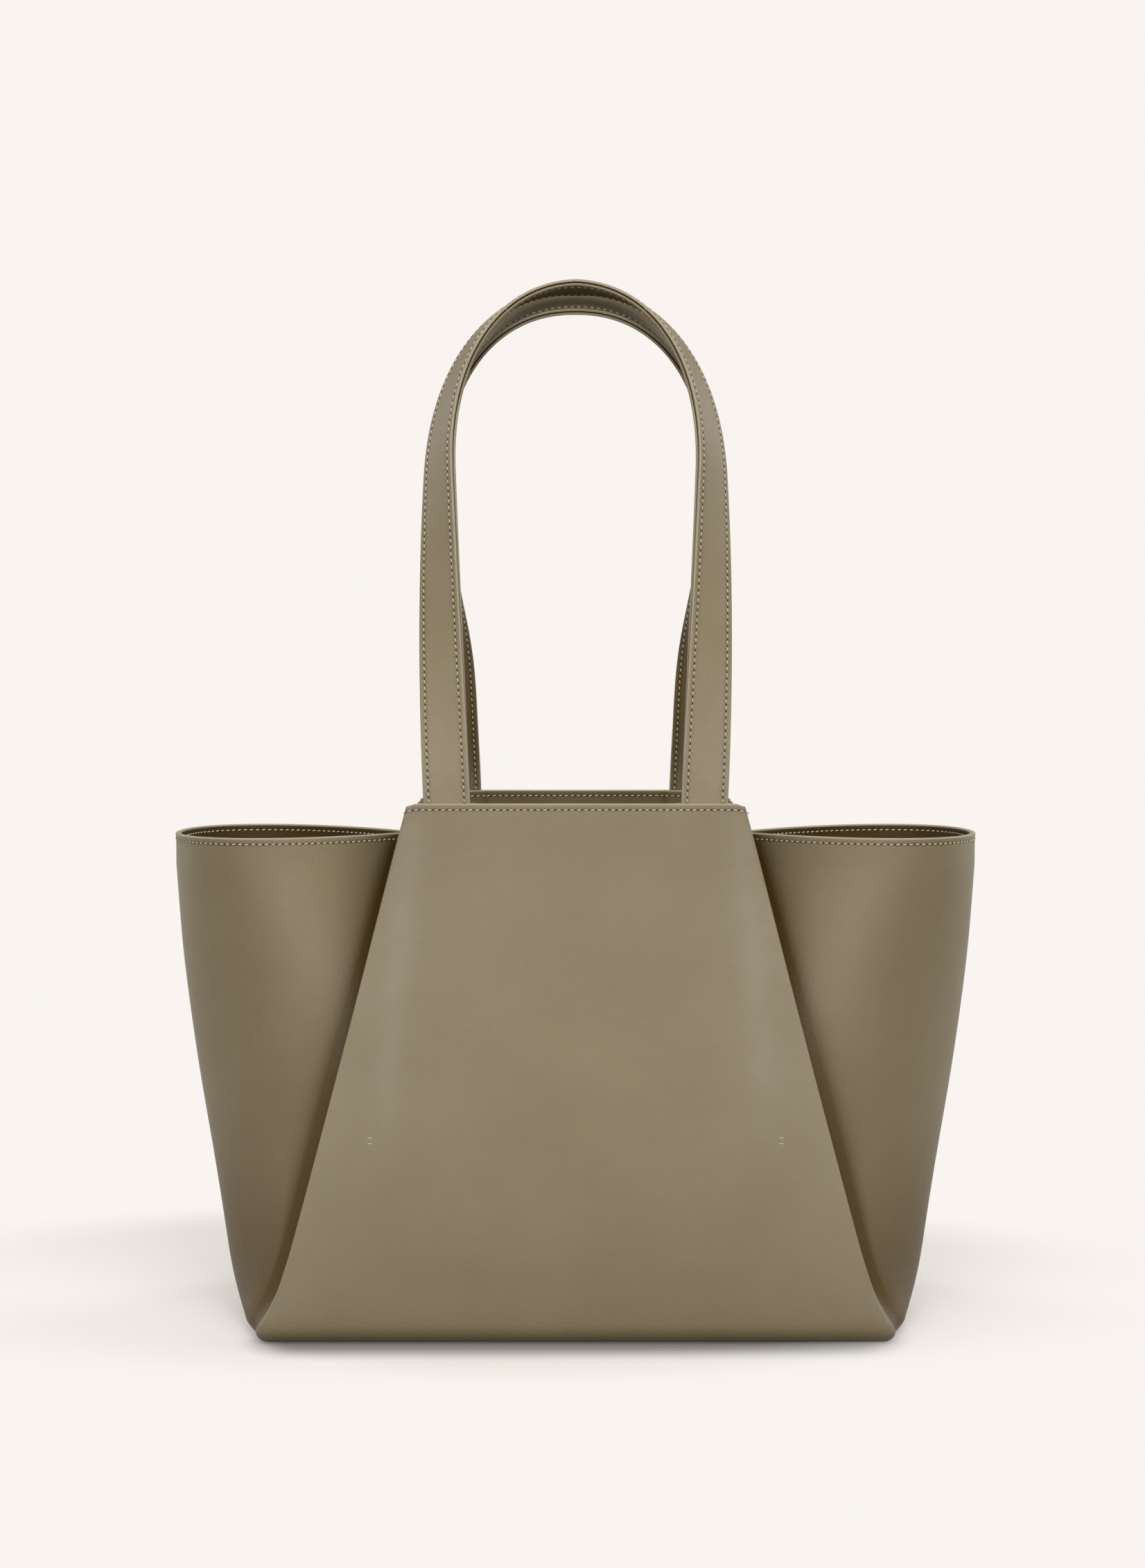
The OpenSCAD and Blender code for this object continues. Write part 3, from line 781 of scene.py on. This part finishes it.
def strapLayer(name, frames, seamN, faceN, back):
    middle, normal, across = frames
    right = layerSection(seamN, faceN)
    section = right + [(-b, n, m, k) for b, n, m, k in right[-2:0:-1]]
    rings = np.stack([middle + b * across + n * normal for b, n, m, k in section], 1)
    if back:
        rings = rings * np.array([-1, -1, 1])
    count, size = rings.shape[:2]
    faces = [(i * size + k, (i + 1) * size + k, (i + 1) * size + (k + 1) % size, i * size + (k + 1) % size)
             for i in range(count - 1) for k in range(size)]
    faces += [tuple(range(size)), tuple(range((count - 1) * size, count * size))]
    mesh = newMesh(name, (rings.reshape(-1, 3) * mm).tolist(), faces)
    rims, shades = (np.tile([point[place] for point in section], (count, 1)) for place in (2, 3))
    # Painted shade: the back strap's top face near the apex, darker toward its rear edge, the front strap's
    # underside at the arch, and the back strap's lower legs; edge paint dims where the arch is shaded
    high = rising(rings[..., 2], *tone["archDark"])
    rear = (rings[..., 1] - rings[..., 1].mean(1)[:, None]) / strap["width"] * 2
    if back and faceN > seamN:
        shades = shades + tone["archOver"] * high * smooth(rear + 0.75)
    elif back:
        shades = shades + tone["backLegs"] * (1 - rising(rings[..., 2], *tone["legDark"]))
    elif faceN < seamN:
        shades = shades + tone["archUnder"] * high
    mark(mesh, "rim", rims * (1 - 0.7 * (shades > 0.3) * high))
    mark(mesh, "shade", np.clip(shades, 0, 1))
    return finishMesh(name, mesh, 50)


# Bakes a strap piece's placement into its mesh and hides the imported solids it stands for
def hang(obj, side, slot, *nodes):
    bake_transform(obj)
    if nodes:
        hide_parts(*nodes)


strapStands = {}
for side in ("front", "back"):
    path = strapPath(*(strap[side + key] for key in ("Length", "Arch", "Twist", "Ease", "Roll")))
    strapStands[side] = strapFrames(strap[side + "Lean"], path)
    gap, half = bag["glue"] / 2, strap["thickness"] / 2
    face = strapLayer(side + "HandleFaceLeather", strapStands[side], gap, half, side == "back")
    face.data.materials.append(strapLeather)
    hang(face, side, "strap_leather", side + "_handle_face", side + "_strap_ends")
    backing = strapLayer(side + "HandleBackingLeather", strapStands[side], -gap, -half, side == "back")
    backing.data.materials.append(strapLeather)
    hang(backing, side, "strap_leather", side + "_handle_backing")
print("straps made")


# Stitching
stitch = {
    "pitch": 3.6, "length": 2.35, "thickness": 0.76, "slant": 9.0, "hole": 0.95, "lift": 0.12,
    "holeDepth": 0.16, "holeSink": 0.03,
    "tackLength": 2.7, "tackThickness": 0.62, "tackGap": 3.0, "tackSink": 0.08,
}


# One stitch and one dark disc of painted shade for its needle hole, for every pitch along each edge line
def saddleStitchTree():
    tree, given = newGroup(
        "saddleStitch", "GeometryNodeTree",
        [("Geometry", "Geometry", None), ("Pitch", "Float", 0.0036), ("Stitch Length", "Float", 0.0027),
         ("Thread Thickness", "Float", 0.0006), ("Slant", "Float", 0.1), ("Hole Size", "Float", 0.0007)],
        [("Geometry", "Geometry", None)])
    curve = addNode(tree, "GeometryNodeMeshToCurve", {"Mesh": given["Geometry"]}).outputs["Curve"]
    line = addNode(tree, "GeometryNodeResampleCurve", {"Curve": curve, "Length": given["Pitch"]},
                   mode="LENGTH").outputs["Curve"]
    normal = addNode(tree, "GeometryNodeInputNamedAttribute", {"Name": "surfaceNormal"},
                     data_type="FLOAT_VECTOR").outputs["Attribute"]
    tangent = tree.nodes.new("GeometryNodeInputTangent").outputs["Tangent"]
    along = addNode(tree, "FunctionNodeAlignRotationToVector", {"Vector": tangent}, axis="X")
    upright = addNode(tree, "FunctionNodeAlignRotationToVector",
                      {"Rotation": along.outputs["Rotation"], "Vector": normal},
                      axis="Z", pivot_axis="X").outputs["Rotation"]
    turn = addNode(tree, "ShaderNodeCombineXYZ", {"Z": given["Slant"]}).outputs["Vector"]
    slanted = addNode(tree, "FunctionNodeRotateRotation", {"Rotation": upright, "Rotate By": turn},
                      rotation_space="LOCAL").outputs["Rotation"]

    def balls(rings, sizes, rotation):
        sphere = addNode(tree, "GeometryNodeMeshUVSphere", {"Segments": 8, "Rings": rings, "Radius": 0.5})
        size = addNode(tree, "ShaderNodeCombineXYZ", dict(zip("XYZ", sizes)))
        ball = addNode(tree, "GeometryNodeTransform",
                       {"Geometry": sphere.outputs["Mesh"], "Scale": size.outputs["Vector"]})
        return addNode(tree, "GeometryNodeInstanceOnPoints",
                       {"Points": line, "Instance": ball.outputs["Geometry"], "Rotation": rotation})

    def finished(instances, material):
        real = addNode(tree, "GeometryNodeRealizeInstances", {"Geometry": instances})
        return addNode(tree, "GeometryNodeSetMaterial",
                       {"Geometry": real.outputs["Geometry"], "Material": material}).outputs["Geometry"]

    thick, hole = given["Thread Thickness"], given["Hole Size"]
    threads = balls(6, (given["Stitch Length"], thick, thick), slanted)
    # Flat dark discs: painted shade in the needle holes
    holes = balls(4, (hole, hole, times(tree, hole, stitch["holeDepth"])), upright)
    move = addNode(tree, "ShaderNodeCombineXYZ",
                   {"X": times(tree, given["Pitch"], 0.5), "Z": times(tree, hole, -stitch["holeSink"])})
    shifted = addNode(tree, "GeometryNodeTranslateInstances",
                      {"Instances": holes.outputs["Instances"], "Translation": move.outputs["Vector"],
                       "Local Space": True})
    both = tree.nodes.new("GeometryNodeJoinGeometry")
    tree.links.new(finished(threads.outputs["Instances"], waxedThread), both.inputs["Geometry"])
    tree.links.new(finished(shifted.outputs["Instances"], needleHoleShade), both.inputs["Geometry"])
    addNode(tree, "NodeGroupOutput", {"Geometry": both.outputs["Geometry"]})
    return tree


# rows is a list of points and normals in millimetres, and the result is one plain mesh
def stitchRows(name, rows):
    points = np.concatenate([p for p, n in rows])
    normals = np.concatenate([n for p, n in rows])
    edges, start = [], 0
    for p, n in rows:
        edges += [(start + i, start + i + 1) for i in range(len(p) - 1)]
        start += len(p)
    line = newMesh(name + "Line", (points * mm).tolist(), [], edges)
    field = line.attributes.new("surfaceNormal", "FLOAT_VECTOR", "POINT")
    field.data.foreach_set("vector", normals.reshape(-1).astype(np.float32))
    guide = newObject(name + "Line", line)
    maker = guide.modifiers.new("saddleStitch", "NODES")
    maker.node_group = stitchTree
    values = {"Pitch": stitch["pitch"] * mm, "Stitch Length": stitch["length"] * mm,
              "Thread Thickness": stitch["thickness"] * mm, "Slant": math.radians(stitch["slant"]),
              "Hole Size": stitch["hole"] * mm}
    for item in stitchTree.interface.items_tree:
        if item.in_out == "INPUT" and item.name in values:
            maker[item.identifier] = values[item.name]
    bpy.context.view_layer.update()
    made = guide.evaluated_get(bpy.context.evaluated_depsgraph_get())
    mesh = bpy.data.meshes.new_from_object(made)
    mesh.name = name
    obj = newObject(name, mesh)
    bpy.data.objects.remove(guide)
    for polygon in mesh.polygons:
        polygon.use_smooth = True
    return obj


stitchTree = saddleStitchTree()


# A line on a wall with its outward direction, from the wall's own shape
def surfaceRow(place, shares, heights, t, outward):
    x, y = place(heights, shares, t)
    x2, y2 = place(heights, shares, t + 0.3)
    nx, ny = unit(x - x2, y - y2)
    way = 1 if outward else -1
    normals = np.stack([way * nx, way * ny, 0 * nx], -1)
    points = np.stack([x, y, heights], -1)
    return points + normals * (stitch["lift"] - bag["groove"] * 0.5), normals


def wallRows():
    rows = []
    same, mirror, about = np.array([1, 1, 1]), np.array([-1, 1, 1]), np.array([-1, -1, 1])
    shares = panelShares[panelShares <= 2.96]
    for back, t in ((False, 0), (True, 0), (False, lining1), (True, lining1)):

        def place(z, s, depth):
            x, y = panelPoints(z, s, depth, rippleSeed(back), t > 0)
            return (backSpread(x, z) if back else x), y

        points, normals = surfaceRow(place, shares, topEdge(shares, back) - bag["stitchInset"], t, t == 0)
        turn = about if back else same
        rows.append((np.concatenate([(points * mirror)[::-1], points[1:]]) * turn,
                     np.concatenate([(normals * mirror)[::-1], normals[1:]]) * turn))
    shares = wingShares[(wingShares > 0.02) & (wingShares < 1.98)]
    height = np.full(len(shares), bag["wingHeight"] - bag["stitchInset"])
    for turn in (same, mirror):
        for t in (0, lining1):
            points, normals = surfaceRow(wingPoints, shares, height, t, t == 0)
            rows.append((points * turn, normals * turn))
    return rows


rimStitches = stitchRows("rimStitches", wallRows())
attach(rimStitches, bagBody)


def strapRows(side):
    middle, normal, across = strapStands[side]
    rows = []
    lineB = strap["width"] / 2 - strap["stitchInset"]
    visible = middle[:, 2] > bag["panelHeight"] - 6
    turn = np.array([-1, -1, 1]) if side == "back" else np.array([1, 1, 1])
    for way in (1, -1):
        sunk = strap["thickness"] / 2 - strap["groove"] * 0.6 - strap["crown"] * 0.6
        faceN = way * (sunk + stitch["lift"] * 0.8)
        for b in (-lineB, lineB):
            points = middle + b * across + faceN * normal
            rows.append(((points * turn)[visible], (way * normal * turn)[visible]))
    return rows


for side in ("front", "back"):
    threads = stitchRows(side + "HandleStitches", strapRows(side))
    hang(threads, side, "thread")


# A short raised bar of thread
def barTack(centre):
    ring, steps = 10, 8
    halfLength, radius = stitch["tackLength"] / 2, stitch["tackThickness"] / 2
    verts = []
    for i in range(steps + 1):
        a = math.pi * i / steps
        for k in range(ring):
            b = 2 * math.pi * k / ring
            verts.append((centre[0] - halfLength * math.cos(a),
                          centre[1] + radius * math.sin(a) * math.cos(b),
                          centre[2] + radius * math.sin(a) * math.sin(b)))
    faces = [(i * ring + k, i * ring + (k + 1) % ring, (i + 1) * ring + (k + 1) % ring, (i + 1) * ring + k)
             for i in range(steps) for k in range(ring)]
    return verts, faces


def tackPiece(name, back):
    verts, faces = [], []
    for way in (-1, 1):
        for row in (-0.5, 0.5):
            z = bag["tackHeight"] + row * stitch["tackGap"]
            x = float(creaseX(bag["tackHeight"])) - bag["tackInset"]
            share = np.array([x / float(creaseX(z) - bag["creaseRadius"])])
            y = float(panelPoints(np.array([z]), share, 0, rippleSeed(back))[1][0])
            made, sides = barTack((way * x, y + stitch["tackSink"], z))
            faces += [tuple(len(verts) + i for i in f) for f in sides]
            verts += made
    turn = -1 if back else 1
    mesh = newMesh(name, [(turn * x * mm, turn * y * mm, z * mm) for x, y, z in verts], faces)
    work = bmesh.new()
    work.from_mesh(mesh)
    bmesh.ops.remove_doubles(work, verts=work.verts, dist=1e-7)
    work.to_mesh(mesh)
    work.free()
    return finishMesh(name, mesh, 80)


for side in ("front", "back"):
    tacks = tackPiece(side + "FoldTackThread", side == "back")
    dress(tacks, waxedThread, "thread", bagBody, side + "_fold_tacks")
print("stitching made")


# Floor, backdrop and lights
studio = {
    "paper": (0.947, 0.905, 0.871), "paperBounce": (0.13, 0.12, 0.11),
    "glow": 0.26, "lit": 0.76, "sky": 0.20,
    "fadeCentre": (-0.05, 0.06), "fadeStretch": 2.2, "fadeFrom": 0.31, "fadeTo": 0.46,
    # The contact values set a painted contact shadow round the base
    "contactHalf": (0.148, 0.062), "contactFrom": 0.010, "contactTo": 0.040, "contactShadowDepth": 0.70,
    "contactShadowTone": (0.02, 0.018, 0.016), "lampTone": (1, 0.985, 0.965), "floorHalf": 6,
}
# Where each lamp stands, its two sides in metres and its power in watts
lamps = {
    "rightKey": ((1.53, -2.55, 3.23), (2.4, 2.4), 60), "leftKey": ((-1.53, -2.55, 3.23), (2.4, 2.4), 46),
    "frontFill": ((0, -3.9, 1.36), (2.7, 2.0), 73), "top": ((0.2, 0.2, 3.9), (2.2, 2.2), 14),
    "rightRim": ((2.7, 1.5, 1.36), (1.0, 2.4), 28), "leftRim": ((-2.7, 1.5, 1.36), (1.0, 2.4), 24),
    "backFill": ((0, 4.0, 1.6), (2.4, 2.0), 20),
}
lampTarget = (0, 0, 0.25)


# One for a ray that meets the floor straight from the eye, by reflection or through glass
def seenDirectly(tree):
    path = tree.nodes.new("ShaderNodeLightPath").outputs
    seen = path["Is Camera Ray"]
    for ray in ("Is Glossy Ray", "Is Transmission Ray"):
        seen = addNode(tree, "ShaderNodeMath", {0: seen, 1: path[ray]}, operation="MAXIMUM").outputs[0]
    return seen


def addFloor():
    half = studio["floorHalf"]
    corners = [(-half, -half, 0), (half, -half, 0), (half, half, 0), (-half, half, 0)]
    floor = newObject("paperFloor", newMesh("paperFloor", corners, [(0, 1, 2, 3)]))
    material = bpy.data.materials.new("paperSweep")
    material.use_nodes = True
    tree = material.node_tree
    tree.nodes.clear()
    place = tree.nodes.new("ShaderNodeTexCoord").outputs["Object"]

    def distance(steps):
        current = place
        for operation, value in steps:
            inputs = {0: current, 1: value}
            current = addNode(tree, "ShaderNodeVectorMath", inputs, operation=operation).outputs[0]
        return addNode(tree, "ShaderNodeVectorMath", {0: current}, operation="LENGTH").outputs["Value"]

    def stepped(value, start, end, low, high):
        inputs = {"Value": value, "From Min": start, "From Max": end, "To Min": low, "To Max": high}
        return addNode(tree, "ShaderNodeMapRange", inputs, interpolation_type="SMOOTHSTEP").outputs["Result"]

    def shader(kind, colour, **inputs):
        return addNode(tree, kind, {"Color": (*colour, 1), **inputs}).outputs[0]

    def blended(factor, first, second):
        return addNode(tree, "ShaderNodeMixShader", {0: factor, 1: first, 2: second}).outputs[0]

    away = distance([("SUBTRACT", (*studio["fadeCentre"], 0)), ("MULTIPLY", (1, studio["fadeStretch"], 1))])
    # Painted contact shadow: close round the base the floor turns towards a near-black diffuse tone
    beside = distance([("ABSOLUTE", (0, 0, 0)), ("SUBTRACT", (*studio["contactHalf"], 0)),
                       ("MAXIMUM", (0, 0, 0))])
    fade = stepped(away, studio["fadeFrom"], studio["fadeTo"], 0, 1)
    contact = stepped(beside, studio["contactFrom"], studio["contactTo"], studio["contactShadowDepth"], 0)
    lit = shader("ShaderNodeBsdfDiffuse", [c * studio["lit"] for c in studio["paper"]])
    glow = shader("ShaderNodeEmission", studio["paper"], Strength=studio["glow"])
    near = addNode(tree, "ShaderNodeAddShader", {0: lit, 1: glow}).outputs[0]
    contactShadowed = blended(contact, near, shader("ShaderNodeBsdfDiffuse", studio["contactShadowTone"]))
    seen = blended(fade, contactShadowed, shader("ShaderNodeEmission", studio["paper"]))
    bounce = shader("ShaderNodeBsdfDiffuse", studio["paperBounce"])
    addNode(tree, "ShaderNodeOutputMaterial", {"Surface": blended(seenDirectly(tree), bounce, seen)})
    floor.data.materials.append(material)


def addWorld():
    world = bpy.data.worlds.new("studioAir")
    bpy.context.scene.world = world
    world.use_nodes = True
    tree = world.node_tree
    tree.nodes.clear()
    skylight = {"Color": (*studio["lampTone"], 1), "Strength": studio["sky"]}
    air = addNode(tree, "ShaderNodeBackground", skylight)
    paper = addNode(tree, "ShaderNodeBackground", {"Color": (*studio["paper"], 1)})
    direct = tree.nodes.new("ShaderNodeLightPath").outputs["Is Camera Ray"]
    choice = addNode(tree, "ShaderNodeMixShader", {0: direct, 1: air.outputs[0], 2: paper.outputs[0]})
    addNode(tree, "ShaderNodeOutputWorld", {"Surface": choice.outputs[0]})


def addLamp(name, place, size, power):
    data = bpy.data.lights.new(name, "AREA")
    data.shape = "RECTANGLE"
    data.size, data.size_y = size
    data.energy = power
    data.color = studio["lampTone"]
    lamp = newObject(name, data)
    lamp.location = place
    lamp.rotation_euler = (Vector(lampTarget) - Vector(place)).to_track_quat("-Z", "Y").to_euler()


addFloor()
addWorld()
for name, (place, size, power) in lamps.items():
    addLamp(name + "Lamp", place, size, power)
bpy.context.scene.view_settings.view_transform = "Standard"
print("studio made")
